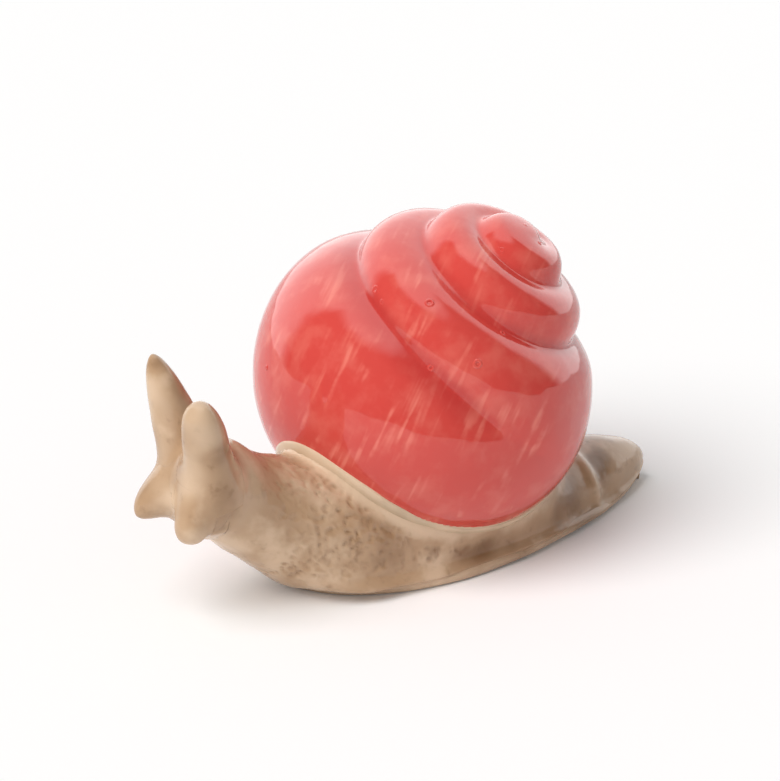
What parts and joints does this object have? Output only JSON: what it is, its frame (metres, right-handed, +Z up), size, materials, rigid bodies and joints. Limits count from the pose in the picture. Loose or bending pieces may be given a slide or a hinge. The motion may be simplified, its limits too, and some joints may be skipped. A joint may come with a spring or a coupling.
{
  "type": "snail figurine",
  "caption": "Small glazed ceramic snail ornament: flat foot, raised head with eye stalks and feelers, and a round shell with a spiral groove, seated in a mantle collar.",
  "frame": {"origin": "on the floor, under the middle of the whole figure's box", "axes": "+X towards the tail, +Y towards the animal's right side, +Z up"},
  "size_m": [0.0712, 0.0395, 0.0411],
  "materials": {
    "sole_glaze": "gloss pale tan glaze",
    "body_glaze": "gloss tan glaze with brown mottling and small pits",
    "collar_glaze": "gloss pale olive-beige glaze",
    "shell_glaze": "high-gloss coral red glaze with pale streaks and pinholes"
  },
  "bodies": {
    "root": {"foot_sole": "sole_glaze", "body": "body_glaze", "mantle_collar": "collar_glaze", "shell": "shell_glaze", "left_eye_stalk": "body_glaze", "right_eye_stalk": "body_glaze", "left_feeler": "body_glaze", "right_feeler": "body_glaze"}
  },
  "joints": []
}
